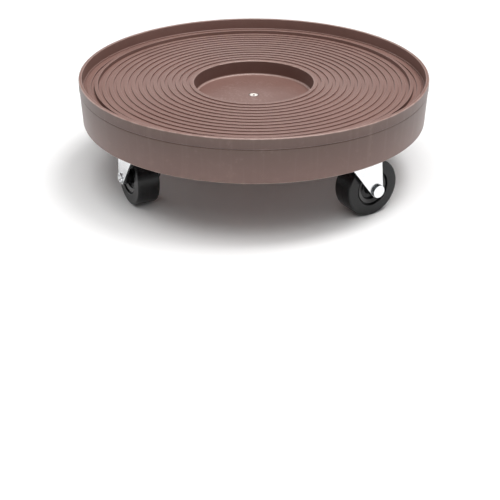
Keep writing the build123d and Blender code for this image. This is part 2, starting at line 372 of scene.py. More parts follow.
def placed(made, place):
    """The same mesh, moved by a matrix whose lengths are in millimetres."""
    moved = place.copy()
    moved.translation *= mm
    bmesh.ops.transform(made, matrix=moved, verts=made.verts)
    return made


def joined(meshes):
    """Several meshes as one, for a piece drawn in parts or a group of like fasteners."""
    whole = bmesh.new()
    for made in meshes:
        part = bpy.data.meshes.new("part")
        made.to_mesh(part)
        made.free()
        whole.from_mesh(part)
        bpy.data.meshes.remove(part)
    return whole


def rise(value, start, width):
    """0 up to a start, then evenly up to 1 over a width."""
    return min(max((value - start) / width, 0.0), 1.0)


def fit_piece(name, made, finish, body, nodes, place=Matrix(), crease=32):
    """Make a mesh into a piece of the caddy that rides on a body and stands for CAD nodes."""
    bmesh.ops.remove_doubles(made, verts=made.verts, dist=1e-7)
    bmesh.ops.recalc_face_normals(made, faces=made.faces)
    wear = made.verts.layers.float.new("wear")
    for edge in made.edges:
        if len(edge.link_faces) == 2 and edge.is_convex:
            worn = rise(math.degrees(edge.calc_face_angle(0.0)), worn_from_angle, worn_angle_span)
            for vertex in edge.verts:
                vertex[wear] = max(vertex[wear], worn)
    mesh = bpy.data.meshes.new(name)
    made.to_mesh(mesh)
    made.free()
    mesh.polygons.foreach_set("use_smooth", [True] * len(mesh.polygons))
    mesh.set_sharp_from_angle(angle=math.radians(crease))
    mesh.materials.append(finish)
    piece = bpy.data.objects.new(name, mesh)
    bpy.context.scene.collection.objects.link(piece)
    even = piece.modifiers.new("even_shading", "WEIGHTED_NORMAL")
    even.keep_sharp = True
    moved = place.copy()
    moved.translation *= mm
    piece.matrix_world = moved
    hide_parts(*nodes)
    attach(piece, body)


def edge_wear_and_highlight(place):
    """How worn the surface is here, from the edges that each piece's mesh marks; on the taupe plastic it
    also places a painted highlight.
    """
    settings = {"attribute_name": "wear", "attribute_type": "GEOMETRY"}
    return place.node("ShaderNodeAttribute", settings, {}, output=2)


# Taupe plastic: a fine spark-eroded grain, faint flow mottling and dust, and edges rubbed lighter, which
# also carry a painted highlight
taupe, taupe_shader, on_tray = start_finish("satin_taupe_plastic", IOR=1.49)
from_middle = on_tray.from_axis()
height = on_tray.part("Z")
facing_up = abs(on_tray.node("ShaderNodeNewGeometry", {}, {}, output=1).part("Z"))
upright = 1 - facing_up.between(0.35, 0.75)
above_under = height.past(well_under_z + 0.5, well_under_z + 1.0)
flow = on_tray.stretched(1.0, 1.0, 2.5).noise(22.0, detail=4.0, roughness=0.55)
sag = on_tray.stretched(1.0, 1.0, 0.0).noise(38.0, detail=1.0)
grain = on_tray.noise(2600.0, detail=2.0)
dust = on_tray.noise(140.0, detail=5.0, roughness=0.65)
# Edges: rubbed lighter by wear, and a painted highlight line along the rim's edges
rubbed_and_edge_highlight = edge_wear_and_highlight(on_tray) * (0.45 + dust.between(0.30, 0.62) * 0.55)

# The gate's mark: a pale scar, brightened to near white as a painted highlight, with a dark rim and a
# dark pip, in haze and frosty specks
gate_scar_and_highlight = from_middle.short_of(gate_radius - 0.2, gate_radius + 0.6)
gate_scar_and_highlight = gate_scar_and_highlight * from_middle.past(gate_pip_radius - 0.1, gate_pip_radius + 0.4) * above_under
gate_rim = from_middle.past(gate_radius - 0.1, gate_radius + 0.4)
gate_rim = gate_rim * from_middle.short_of(gate_radius + 1.1, gate_radius + 1.8) * above_under
gate_pip = from_middle.short_of(gate_pip_radius - 0.1, gate_pip_radius + 0.2) * above_under
gate_haze = from_middle.short_of(gate_radius + 1.2, haze_radius)
gate_haze = gate_haze * above_under * dust.between(0.40, 0.62)
frost = on_tray.noise(360.0, detail=2.0).between(0.50, 0.64) * flow.between(0.38, 0.60)
frost = frost * above_under * from_middle.short_of(frost_radius, frost_radius + 20.0)

# Painted shade on the groove walls, deeper than on the rib tops, and deepest outside the tall ring
groove_wall_shade = upright * height.past(groove_floor_z - 0.35, groove_floor_z - 0.15)
groove_wall_shade = groove_wall_shade * from_middle.past(well_radius + 1.2, well_radius + 1.8)
groove_wall_shade = groove_wall_shade * from_middle.short_of(rim_inner_radius + 0.3, rim_inner_radius + 0.6)
outside_ring = from_middle.past(ring_middle, ring_middle + 0.8)
on_rim_wall = from_middle.past(rim_inner_radius - 1.6, rim_inner_radius - 1.0)
groove_wall_shade = groove_wall_shade * (0.48 + outside_ring * 0.47) * (1 - on_rim_wall * 0.75)

# The well: painted shade on its floor, deeper painted shade on its wall, and a painted highlight along
# its foot
well_floor_shade = from_middle.short_of(well_radius - 3.6, well_radius - 2.2) * above_under
inside_wall = from_middle.short_of(well_radius + 0.3, well_radius + 0.8)
well_wall_shade = from_middle.past(well_radius - 1.2, well_radius - 0.7) * inside_wall
well_wall_shade = well_wall_shade * height.short_of(deck_z - 1.2, deck_z - 0.4)
well_wall_shade = well_wall_shade * height.past(well_floor_z + 1.0, well_floor_z + 2.0)
well_foot_highlight = from_middle.past(well_radius - 2.4, well_radius - 1.6) * inside_wall
well_foot_highlight = well_foot_highlight * height.short_of(well_floor_z + 0.9, well_floor_z + 1.5) * above_under

# The skirt: painted shade that deepens up toward the rim band, with faint painted streaks
# of sheen down it, and without the fine specks of the upper side
on_skirt = from_middle.past(rim_inner_radius + 0.6, rim_inner_radius + 1.1)
on_skirt = on_skirt * height.short_of(rim_z - 0.9, rim_z - 0.3)
skirt_shade_upward = height.past(skirt_edge_z, rim_z - 6.0)
painted_streak_sheen = on_tray.stretched(1.0, 1.0, 0.05).noise(190.0, detail=3.0, roughness=0.6).between(0.50, 0.74)
speck = on_tray.noise(1050.0, detail=2.0).between(0.38, 0.68) * (1 - on_skirt)

tone = flow.between(0.25, 0.75).mix(colour(128, 96, 88), colour(136, 104, 96))
for share, shade in (
    # painted shade on the skirt, deepest toward the rim band
    (on_skirt * (0.60 + skirt_shade_upward * 0.32), colour(90, 71, 65)),
    # painted streaks of sheen down the skirt
    (on_skirt * painted_streak_sheen * 0.08, colour(152, 131, 125)),
    (dust.between(0.55, 0.85) * 0.30 + speck * 0.14, colour(150, 124, 116)),
    (gate_haze * 0.10 + frost * 0.34, colour(176, 152, 145)),
    # painted shade on the groove walls and in the well, and the gate's dark rim
    (groove_wall_shade + well_wall_shade * 0.80 + well_floor_shade * 0.12 + gate_rim * 0.60, colour(78, 50, 44)),
    # rubbed edges with their painted highlight, and a painted highlight at the well's foot
    (rubbed_and_edge_highlight * 0.55 + well_foot_highlight * 0.50, colour(192, 168, 160)),
    # the gate's pale scar with a painted highlight
    (gate_scar_and_highlight * 0.95, colour(243, 236, 229)),
    (gate_pip, colour(58, 42, 38)),
):
    tone = share.mix(tone, shade)
feed(
    taupe_shader,
    Base_Color=tone,
    Roughness=0.30 + flow * 0.08 + dust * 0.08 - rubbed_and_edge_highlight * 0.04,
    Normal=bump(grain * 0.00001 + dust * 0.000003 + sag * 0.00025, 1.0, 1.0),
)

# The outline runs out along the underside, up the skirt and back in over the ribs
shell_corners = [
    (0, well_under_z, 0),
    (well_outer_radius, well_under_z, 1.3),
    (well_outer_radius, deck_under_z, 1.2),
    (skirt_inner_radius, deck_under_z, 1.2),
    (skirt_inner_radius, skirt_edge_z, 0.7),
    (skirt_edge_radius, skirt_edge_z, 0.9),
    (skirt_top_radius + skirt_swell, rim_band_z - 2.0, 0.5),
    (skirt_top_radius + skirt_swell - 0.03, rim_band_z - 1.2, 0.3),
    (skirt_top_radius + skirt_nip, rim_band_z - 0.7, 0.2),
    (skirt_top_radius + skirt_nip, rim_band_z - 0.3, 0.2),
    (tray_radius, rim_band_z + 0.1, 0.4),
    (tray_radius, rim_z, rim_round),
    (rim_inner_radius, rim_z, 0.7),
    (rim_inner_radius, deck_z, 0.3),
]
for index in reversed(range(groove_count)):
    middle = first_groove + index * groove_pitch
    outer, inner = middle + groove_width / 2, middle - groove_width / 2
    if index != ring_after_groove:
        shell_corners.append((outer, deck_z, rib_round))
    shell_corners.append((outer - groove_draft, groove_floor_z, 0.15))
    shell_corners.append((inner + groove_draft, groove_floor_z, 0.15))
    if index == ring_after_groove + 1:
        next_outer = inner - groove_pitch + groove_width
        shell_corners.append((inner - groove_draft, ring_top_z, rib_round))
        shell_corners.append((next_outer + groove_draft, ring_top_z, rib_round))
    else:
        shell_corners.append((inner, deck_z, rib_round))
shell_corners += [
    (well_radius, deck_z, 1.1),
    (well_radius - 0.4, well_floor_z, well_fillet),
    (gate_radius, well_floor_z, 0.25),
    (gate_radius - 0.2, well_floor_z - gate_depth, 0.2),
    (gate_pip_radius + 0.2, well_floor_z - gate_depth, 0.2),
    (gate_pip_radius, well_floor_z, 0.2),
    (0, well_floor_z, 0),
]
fit_piece("tray_shell", turned(rounded(shell_corners), tray_turns), taupe,
          "base", ["tray_skirt", "tray_deck", "tray_well"])

# ---------------------------------------------------------------------------------------
# Caster bays: under the deck, four sets of ribs and screw bosses of the same moulding. Two
# tall ribs slope down from the well to each plate's ends, and a cross rib closes the bay.
bay_angles = {"front": -90, "right": 0, "back": 90, "left": 180}
seat_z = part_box("tray_bay_right")[0].z / mm
caster_circle = (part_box("plate_right")[0].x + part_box("plate_right")[1].x) / 2 / mm
plate_half_width = (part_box("plate_right")[1].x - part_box("plate_right")[0].x) / 2 / mm
plate_half_length = (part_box("plate_right")[1].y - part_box("plate_right")[0].y) / 2 / mm
rib_thickness = 2.2
rib_level_radius = 86.0
rib_ramp = 34.0
boss_radius = 4.0
boss_web = 2.0
pilot_radius = 2.03
screw_across = 23.4 / 2
screw_along = 42.6 / 2
screw_places = [(x, y) for x in (-screw_across, screw_across) for y in (-screw_along, screw_along)]
rib_edge = 0.35
overlap = 1.0


def slab(outline, thickness):
    """A flat piece of even thickness, centred on z = 0, from an outline of (x, y)."""
    lower = [(x, y, -thickness / 2) for x, y in outline]
    upper = [(x, y, thickness / 2) for x, y in outline]
    made = skin([lower, upper])
    made.verts.ensure_lookup_table()
    count = len(outline)
    made.faces.new([made.verts[k] for k in reversed(range(count))])
    made.faces.new([made.verts[k] for k in range(count, 2 * count)])
    return made


def strip(width, start, end):
    """A slab's outline, so wide about the Y axis, that runs along it."""
    return [(-width / 2, start), (width / 2, start), (width / 2, end), (-width / 2, end)]


def softened(made, width, steps=2, sharper_than=35):
    """The same mesh with its sharp edges rounded off."""
    bmesh.ops.recalc_face_normals(made, faces=made.faces)
    least = math.radians(sharper_than)
    inner_edges = [edge for edge in made.edges if len(edge.link_faces) == 2]
    edges = [edge for edge in inner_edges if edge.calc_face_angle(0.0) > least]
    bmesh.ops.bevel(made, geom=edges, offset=width * mm, segments=steps, profile=0.5,
                    affect="EDGES", clamp_overlap=True)
    return made


def framed(made, width):
    """The same mesh with a narrow frame inside each broad face, so wear stays at the edges."""
    broad = [face for face in made.faces if face.calc_area() > 30 * mm * mm]
    bmesh.ops.inset_individual(made, faces=broad, thickness=width * mm, use_even_offset=True)
    return made


upright_along_x = Matrix(((1, 0, 0, 0), (0, 0, -1, 0), (0, 1, 0, 0), (0, 0, 0, 1)))
into_well_wall = math.sqrt((well_outer_radius - overlap) ** 2 - plate_half_length**2)
into_skirt_wall = math.sqrt((skirt_inner_radius + overlap) ** 2 - plate_half_length**2)
ramp_start = rib_level_radius - rib_ramp
ramp_z = well_under_z + (seat_z - well_under_z) * (into_well_wall - ramp_start) / rib_ramp
long_rib = [
    (into_well_wall, ramp_z),
    (rib_level_radius, seat_z),
    (into_skirt_wall, seat_z),
    (into_skirt_wall, deck_under_z + overlap),
    (into_well_wall, deck_under_z + overlap),
]
cross_x = caster_circle - plate_half_width
cross_rib = strip(rib_thickness, -plate_half_length, plate_half_length)
cross_height = deck_under_z + overlap - seat_z
cross_z = seat_z + cross_height / 2
boss_web_strip = strip(boss_web, 0, plate_half_length - screw_along)
boss_corners = rounded([
    (pilot_radius, seat_z, 0.2), (boss_radius, seat_z, 0.4),
    (boss_radius + 0.25, deck_under_z - 1.4, 0.8), (boss_radius + 1.2, deck_under_z + 0.5, 0),
    (pilot_radius, deck_under_z, 0),
])
for side, angle in bay_angles.items():
    parts = []
    for y in (-plate_half_length, plate_half_length):
        rib = framed(softened(slab(long_rib, rib_thickness), rib_edge), 2 * rib_edge)
        parts.append(placed(rib, Matrix.Translation((0, y, 0)) @ upright_along_x))
    cross = framed(softened(slab(cross_rib, cross_height), rib_edge), 2 * rib_edge)
    parts.append(placed(cross, Matrix.Translation((cross_x, 0, cross_z))))
    for x, y in screw_places:
        boss = turned(boss_corners, 32, closed=True)
        parts.append(placed(boss, Matrix.Translation((caster_circle + x, y, 0))))
        web = softened(slab(boss_web_strip, cross_height), 0.25)
        outward = Matrix.Diagonal((1, math.copysign(1.0, y), 1, 1))
        parts.append(placed(web, Matrix.Translation((caster_circle + x, y, cross_z)) @ outward))
    fit_piece(f"bay_ribs_{side}", joined(parts), taupe, "base",
              [f"tray_bay_{side}"], Matrix.Rotation(math.radians(angle), 4, "Z"))

# ---------------------------------------------------------------------------------------
# Top plates: each caster's fixed plate, stamped from 2 mm zinc-plated steel. Its round
# raceway is pressed down in the middle, and four screws hold it up against the bosses.
sheet = 2.0
plate_face_z = seat_z - sheet
plate_corner = 3.0
race_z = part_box("plate_right")[0].z / mm - plate_face_z
raceway_radius = 16.2
kingpin_hole = 4.02
ball_circle = 13.6
track_depth = 0.35
press_round = 1.1
sheet_edge = 0.4
edge_spacing = 1.3


def steel_finish(name, light, dark, roughness, streak_scale, shade_beyond=None):
    """Zinc-plated steel: bright, slightly blue, with rolling streaks, spangle and rubbed edges.

    A rivet may take painted shade beyond a given radius, which is the side of its head.
    """
    finish, shader, place = start_finish(name, Metallic=1.0)
    streaks = place.stretched(streak_scale, streak_scale * 0.05, streak_scale).noise(1.0, detail=3.0)
    cloud = place.noise(90.0, detail=4.0, roughness=0.6)
    fine = place.noise(1500.0, detail=2.0)
    edge = edge_wear_and_highlight(place)
    tone = (cloud * 0.6 + streaks * 0.4).between(0.28, 0.74).mix(dark, light)
    stain = place.noise(31.0, detail=5.0, roughness=0.7).between(0.60, 0.80)
    tone = (stain * 0.35).mix(tone, colour(150, 150, 148))
    tone = (edge * 0.5).mix(tone, colour(246, 247, 249))
    if shade_beyond:
        # The side of the head is painted dark: painted shade
        shaded_side = place.from_axis().past(shade_beyond - 0.1, shade_beyond)
        tone = shaded_side.mix(tone, colour(74, 76, 79))
    feed(
        shader,
        Base_Color=tone,
        Roughness=roughness + cloud * 0.12 + streaks * 0.08 - edge * 0.08,
        Normal=bump(fine * 0.5 + streaks * 0.5, 0.12, 0.00005),
    )
    return finish


plate_steel = steel_finish("zinc_plate_steel", colour(232, 234, 238), colour(205, 208, 212), 0.22, 700.0)


def caster_place(side):
    """A caster's own frame, on its plate's face, with X pointing out from the tray's middle."""
    turn = Matrix.Rotation(math.radians(bay_angles[side]), 4, "Z")
    return turn @ Matrix.Translation((caster_circle, 0, plate_face_z))


def with_more_points(outline, spacing):
    """A closed outline with points added on its long runs."""
    points = []
    for (x0, y0), (x1, y1) in zip(outline, outline[1:] + outline[:1]):
        steps = max(1, math.ceil(math.hypot(x1 - x0, y1 - y0) / spacing))
        points += [(x0 + (x1 - x0) * k / steps, y0 + (y1 - y0) * k / steps) for k in range(steps)]
    return points


def inset(outline, distance):
    """An anticlockwise outline moved inward."""
    points = []
    before = outline[-1:] + outline[:-1]
    after = outline[1:] + outline[:1]
    for (x0, y0), (x, y), (x1, y1) in zip(before, outline, after):
        normal = Vector((y0 - y, x - x0)).normalized() + Vector((y - y1, x1 - x)).normalized()
        normal.normalize()
        points.append((x + normal.x * distance, y + normal.y * distance))
    return points


def spread(section, outline):
    """Loops of a turned section of (radius, height), with their points where an outline has its."""
    spokes = [Vector(point).normalized() for point in outline]
    return [[(s.x * radius, s.y * radius, height) for s in spokes] for radius, height in section]


def pressed_sheet(outline, below, above, thickness, edge):
    """A stamped sheet: turned sections of (radius, height) below and above, and a cut edge."""
    # The edge goes in a quarter round from the lower face, then in another to the upper face
    angles = [math.pi / 2 * step / 4 for step in range(5)]
    quarter = [(edge * (1 - math.sin(a)), edge * (1 - math.cos(a))) for a in angles]
    cut = quarter + [(up, thickness - inward) for inward, up in quarter]
    edge_loops = [[(x, y, z) for x, y in inset(outline, inward)] for inward, z in cut]
    return skin(spread(below, outline) + edge_loops + spread(above, outline), closed=True)


plate_corners = [(x * plate_half_width, y * plate_half_length, plate_corner)
                 for x, y in ((-1, -1), (1, -1), (1, 1), (-1, 1))]
plate_outline = with_more_points(rounded(plate_corners, steps=6, closed=True), edge_spacing)
race_below = rounded([
    (kingpin_hole, race_z, 0),
    (ball_circle - 1.2, race_z, 0.3), (ball_circle - 0.4, race_z + track_depth, 0.3),
    (ball_circle + 0.4, race_z + track_depth, 0.3), (ball_circle + 1.2, race_z, 0.3),
    (raceway_radius, race_z, 0.9), (raceway_radius, 0, 0.25), (plate_half_width - sheet_edge, 0, 0),
])
race_above = rounded([
    (raceway_radius - 0.3, sheet, 0), (raceway_radius - sheet, sheet, press_round),
    (raceway_radius - sheet, race_z + sheet, 0.7), (kingpin_hole, race_z + sheet, 0),
])
for side in bay_angles:
    made = pressed_sheet(plate_outline, race_below, race_above, sheet, sheet_edge)
    fit_piece(f"top_plate_{side}", made, plate_steel, "base",
              [f"plate_{side}"], caster_place(side))

# ---------------------------------------------------------------------------------------
# Swivel balls: eighteen hard polished steel balls a caster, loose between the plate's
# raceway and the top of the fork.
ball_radius = 1.15
ball_play = 0.05
ball_count = 18

polished, polished_shader, on_ball = start_finish("polished_ball_steel", Metallic=1.0)
oil = on_ball.noise(300.0, detail=3.0)
feed(
    polished_shader,
    Base_Color=oil.between(0.3, 0.7).mix(colour(196, 196, 198), colour(226, 227, 229)),
    Roughness=0.08 + oil * 0.12,
)


def at_each_caster(draw):
    """One mesh of what is drawn in each caster's own frame."""
    return joined([placed(draw(), caster_place(side)) for side in bay_angles])


def ball_ring():
    arc = [math.pi * step / 10 for step in range(11)]
    half_circle = [(ball_radius * math.sin(a), -ball_radius * math.cos(a)) for a in arc]
    places = circle(ball_circle, race_z - ball_radius - ball_play, ball_count)
    return joined([placed(turned(half_circle, 18), Matrix.Translation(place)) for place in places])


fit_piece("swivel_balls", at_each_caster(ball_ring), polished, "base", ["race_balls"])

# ---------------------------------------------------------------------------------------
# Race cups: a dished zinc-plated washer a caster, held under the fork's bowl by the kingpin.
cup_radius = 9.6
cup_flat_radius = 7.6
cup_thickness = 1.4
swivel_gap = 0.3
cup_top_z = race_z - swivel_gap - sheet - swivel_gap
cup_under_z = cup_top_z - cup_thickness

cup_steel = steel_finish("bright_cup_steel", colour(240, 241, 243), colour(216, 218, 221), 0.16, 900.0)
cup_corners = rounded([
    (kingpin_hole, cup_under_z, 0), (cup_flat_radius, cup_under_z, 0.5),
    (cup_radius, cup_under_z + 0.55, 0.45), (cup_radius, cup_top_z, 0.3),
    (kingpin_hole, cup_top_z, 0),
], steps=4)
fit_piece("race_cup_washers", at_each_caster(lambda: turned(cup_corners, 72, closed=True)), cup_steel,
          "base", ["race_cups"])

# ---------------------------------------------------------------------------------------
# Kingpins: the steel rivet each fork turns on. Its flat head lies in the plate's hollow, and
# its lower end is staked over the cup with a cross punch, which leaves four petals.
kingpin_radius = 4.0
head_radius = 6.6
head_height = 1.9
stake_radius = 4.4
stake_depth = 0.9
arm_half_width = 0.35
arm_length = 3.2

rivet_tones = (colour(249, 250, 251), colour(224, 226, 229))
rivet_steel = steel_finish("staked_rivet_steel", *rivet_tones, 0.12, 1100.0)


def kingpin():
    shank = turned(rounded([
        (0, race_z + sheet + head_height, 0), (head_radius, race_z + sheet + head_height, 0.6),
        (head_radius, race_z + sheet, 0.2), (kingpin_radius, race_z + sheet, 0),
        (kingpin_radius, cup_under_z, 0), (head_radius, cup_under_z, 0.3),
    ]), 64)
    lower_z = cup_under_z - head_height
    rings = rounded([(head_radius, cup_under_z + 0.3, 0), (head_radius, lower_z, 1.0),
                     (stake_radius, lower_z, 0)], steps=5)[1:]
    rings += [(stake_radius - 0.2 * k, lower_z) for k in range(1, 22)]
    loops = []
    for radius, height in rings:
        loop = []
        for x, y, z in circle(radius, height, 96):
            along_arm = 1 - rise(min(abs(x), abs(y)), arm_half_width, 0.45)
            along_arm = along_arm * (1 - rise(math.hypot(x, y), arm_length, 0.7))
            middle = 1 - rise(math.hypot(x, y), 1.0, 0.8)
            loop.append((x, y, z + stake_depth * max(along_arm, middle)))
        loops.append(loop)
    return joined([shank, skin(loops)])


fit_piece("staked_kingpins", at_each_caster(kingpin), rivet_steel, "base",
          ["kingpins"], crease=40)

# ---------------------------------------------------------------------------------------
# Plate screws: sixteen zinc-plated pan-head screws with a cross drive, driven up through the
# plates' corner holes into the bosses. Each stops at its own angle.
screw_radius = 2.0
screw_head_radius = 4.0
screw_head_height = 2.2
screw_length = 12.0
screw_taper = 3.0
drive_depth = 1.5
drive_reach = 2.25
drive_half_width = 0.42
drive_corner = 0.62

screw_steel = steel_finish("blue_zinc_screw_steel", colour(214, 222, 234), colour(176, 186, 202),
                           0.2, 1300.0)


def evaluated(thing):
    """A thing as its modifiers leave it."""
    bpy.context.view_layer.update()
    return thing.evaluated_get(bpy.context.evaluated_depsgraph_get())


def cut_away(first, second):
    """One closed mesh with another cut out of it."""
    solids = []
    for made in (first, second):
        bmesh.ops.recalc_face_normals(made, faces=made.faces)
        mesh = bpy.data.meshes.new("solid")
        made.to_mesh(mesh)
        made.free()
        solids.append(bpy.data.objects.new("solid", mesh))
        bpy.context.scene.collection.objects.link(solids[-1])
    cut = solids[0].modifiers.new("cut", "BOOLEAN")
    cut.operation = "DIFFERENCE"
    cut.solver = "EXACT"
    cut.object = solids[1]
    result = bpy.data.meshes.new_from_object(evaluated(solids[0]))
    whole = bmesh.new()
    whole.from_mesh(result)
    for solid in solids:
        mesh = solid.data
        bpy.data.objects.remove(solid)
        bpy.data.meshes.remove(mesh)
    bpy.data.meshes.remove(result)
    return whole


screw_outline = rounded([
    (0, -screw_head_height, 0), (2.5, -screw_head_height + 0.06, 1.2), (3.75, -1.35, 1.2),
    (screw_head_radius, -0.35, 0.3), (screw_head_radius - 0.1, 0, 0.1), (screw_radius, 0, 0.1),
    (screw_radius, screw_length - screw_taper, 0.3), (0, screw_length, 0),
], steps=4)
arm = [(drive_reach, -drive_half_width), (drive_reach, drive_half_width), (drive_corner, drive_corner)]
quarter_turns = [Matrix.Rotation(math.pi / 2 * quarter, 2) for quarter in range(4)]
cross = [turn @ Vector(point) for turn in quarter_turns for point in arm]
drive = skin([
    [(0, 0, -screw_head_height - 0.6)],
    [(p.x * 1.12, p.y * 1.05, -screw_head_height - 0.5) for p in cross],
    [(p.x, p.y, -screw_head_height + 0.1) for p in cross],
    [(p.x * 0.55, p.y * 0.75, -screw_head_height + drive_depth) for p in cross],
    [(0, 0, -screw_head_height + drive_depth + 0.1)],
])
screw = softened(cut_away(turned(screw_outline, 48), drive), 0.07, steps=1, sharper_than=40)
screw_mesh = bpy.data.meshes.new("screw")
screw.to_mesh(screw_mesh)
screw.free()
driven = random.Random(7)


def plate_screws():
    parts = []
    for x, y in screw_places:
        one = bmesh.new()
        one.from_mesh(screw_mesh)
        turn = Matrix.Rotation(driven.uniform(0, math.pi / 2), 4, "Z")
        parts.append(placed(one, Matrix.Translation((x, y, 0)) @ turn))
    return joined(parts)


fit_piece("pan_head_screws", at_each_caster(plate_screws), screw_steel, "base",
          ["plate_screws"])

# ---------------------------------------------------------------------------------------
# Forks: each pressed from one 2 mm zinc-plated blank. A shallow bowl is pressed up round the
# kingpin, the front is turned down in a rim, and two legs are bent down to the axle.
swivel_angles = {"front": 165.8, "right": 82.0, "back": 0.0, "left": 90.0}
fork_top_z = race_z - 2 * (ball_radius + ball_play)
bowl_top_z = race_z - swivel_gap
bowl_radius = 11.2
flat_from_radius = 12.4
pin_clearance = 0.08
fork_front = 19.8
fork_rear = 24.2
leg_outer = 17.5
leg_front = 9.6
rim_drop = 6.5
bend_radius = 4.2
gusset_length = 5.0
gusset_drop = 3.6
tip_radius = 6.4
axle_trail = 20.8
axle_drop = 43.6
squareness = 2.6
cut_edge = 0.35
leg_steps = 20
gusset_steps = 8
nose_steps = 12
rear_steps = 20
rim_end_z = fork_top_z - rim_drop
gusset_z = rim_end_z - gusset_drop
gusset_x = -leg_front - gusset_length

fork_steel = steel_finish("bright_fork_steel", colour(250, 251, 252), colour(232, 234, 237), 0.14, 500.0)


def side_at(x, inward=0.0):
    """How far out the base's edge stands at x from the kingpin, when drawn so far inward."""
    ahead = rise(-x, 0.0, fork_front - inward)
    return (leg_outer - inward) * (1 - ahead**squareness) ** (1 / squareness)


# Stations along one side of the base, from its rear corner to the middle of its front
stations = [fork_rear - (fork_rear + leg_front) * k / leg_steps for k in range(leg_steps + 1)]
stations += [-leg_front - gusset_length * k / gusset_steps for k in range(1, gusset_steps + 1)]
round_from = math.asin((gusset_x / -fork_front) ** (squareness / 2))
for k in range(1, nose_steps + 1):
    bearing = round_from + (math.pi / 2 - round_from) * k / nose_steps
    stations.append(-fork_front * math.sin(bearing) ** (2 / squareness))


def base_outline(inward):
    """The base's edge from the rear right corner round the front to the rear left one."""
    shrink = 1 - inward / fork_front
    right = [x if x > 0 else x * shrink for x in stations]
    points = [(x, -side_at(x, inward)) for x in right]
    return points + [(x, -y) for x, y in reversed(points[:-1])]


def leg_edge(corner, z, side):
    """Where the leg's front (side -1) or rear (side 1) edge is at a height."""
    tip = Vector((axle_trail, -axle_drop))
    away = tip - Vector(corner)
    lean = math.asin(tip_radius / away.length)
    direction = math.atan2(away.y, away.x) + lean * side
    straight = Vector((math.cos(direction), math.sin(direction))) * away.length * math.cos(lean)
    touch = Vector(corner) + straight
    if z >= touch.y:
        return corner[0] + (corner[1] - z) * (touch.x - corner[0]) / (corner[1] - touch.y)
    return tip.x + side * math.sqrt(max(tip_radius**2 - (z - tip.y) ** 2, 0.0))


def across_leg(z, share):
    """A point of the leg's width at a height, from its rear edge (0) to its front one (1)."""
    front = leg_edge((-leg_front, rim_end_z), z, -1)
    back = leg_edge((fork_rear, rim_end_z), z, 1)
    return back + (front - back) * share


def lower_edge(index):
    """Where the rim's lower edge is at a station: it sweeps down in a curve to meet the leg."""
    if index <= leg_steps:
        return across_leg(gusset_z, index / leg_steps), gusset_z
    if index > leg_steps + gusset_steps:
        return stations[index], rim_end_z
    t = (leg_steps + gusset_steps - index) / gusset_steps
    end_x = across_leg(gusset_z, 1.0)
    x = gusset_x * (1 - t) ** 2 - leg_front * 2 * t * (1 - t) + end_x * t**2
    return x, rim_end_z * (1 - t**2) + gusset_z * t**2


def fork():
    # Rings from the kingpin's hole out over the bowl to the edge of the flat base
    base_edge = base_outline(bend_radius)
    rear_y = base_edge[-1][1]
    rear_width = rear_y - base_edge[0][1]
    base_edge += [(fork_rear, rear_y - rear_width * k / rear_steps) for k in range(1, rear_steps)]
    bowl = rounded([
        (kingpin_radius + pin_clearance, bowl_top_z, 0), (bowl_radius, bowl_top_z, 1.2),
        (bowl_radius + 0.35, fork_top_z, 0.9), (flat_from_radius, fork_top_z, 0),
    ], steps=5)
    base = skin(spread(bowl, base_edge) + [[(x, y, fork_top_z) for x, y in base_edge]])

    # The bend all round, then the rim and the tops of the legs, open at the rear
    rows = []
    for step in range(9):
        angle = math.pi / 2 * step / 8
        line = base_outline(bend_radius * (1 - math.sin(angle)))
        rows.append([(x, y, fork_top_z - bend_radius * (1 - math.cos(angle))) for x, y in line])
    bend_end = rows[-1]
    right = [lower_edge(index) for index in range(len(stations))]
    low = [(x, -side_at(x), z) for x, z in right]
    low += [(x, -y, z) for x, y, z in reversed(low[:-1])]
    for step in range(1, 6):
        share = step / 5
        rows.append([tuple(a + (b - a) * share for a, b in zip(upper, lower))
                     for upper, lower in zip(bend_end, low)])
    rim = skin(rows, ends_open=True)

    # The legs, from there down to their round tips
    legs = []
    heights = [gusset_z + (-axle_drop - gusset_z) * k / 14 for k in range(15)]
    heights += [-axle_drop - tip_radius * math.sin(math.pi / 2 * k / 10) for k in range(1, 10)]
    heights += [-axle_drop - tip_radius + 0.02]
    for hand in (-1, 1):
        rows = []
        for z in heights:
            line = [across_leg(z, k / leg_steps) for k in range(leg_steps + 1)]
            rows.append([(x, hand * side_at(x), z) for x in line])
        legs.append(skin(rows, ends_open=True))
    return joined([base, rim] + legs)


def thickened(made, thickness, edge):
    """A pressed sheet from its outer surface: given its thickness, and its cut edges rounded."""
    bmesh.ops.remove_doubles(made, verts=made.verts, dist=0.02 * mm)
    bmesh.ops.recalc_face_normals(made, faces=made.faces)
    mesh = bpy.data.meshes.new("blank")
    made.to_mesh(mesh)
    made.free()
    blank = bpy.data.objects.new("blank", mesh)
    bpy.context.scene.collection.objects.link(blank)
    thick = blank.modifiers.new("sheet", "SOLIDIFY")
    thick.thickness = thickness * mm
    thick.offset = -1
    thick.use_even_offset = True
    edges = blank.modifiers.new("cut_edge", "BEVEL")
    edges.width = edge * mm
    edges.segments = 2
    edges.limit_method = "ANGLE"
    edges.angle_limit = math.radians(55)
    result = bpy.data.meshes.new_from_object(evaluated(blank))
    bpy.data.objects.remove(blank)
    bpy.data.meshes.remove(mesh)
    return result


def fork_place(side):
    """A fork's own frame: on its kingpin, swivelled to where it stands at rest."""
    bay = math.radians(bay_angles[side])
    kingpin_place = (caster_circle * math.cos(bay), caster_circle * math.sin(bay), plate_face_z)
    swivel = Matrix.Rotation(math.radians(swivel_angles[side]), 4, "Z")
    return Matrix.Translation(kingpin_place) @ swivel


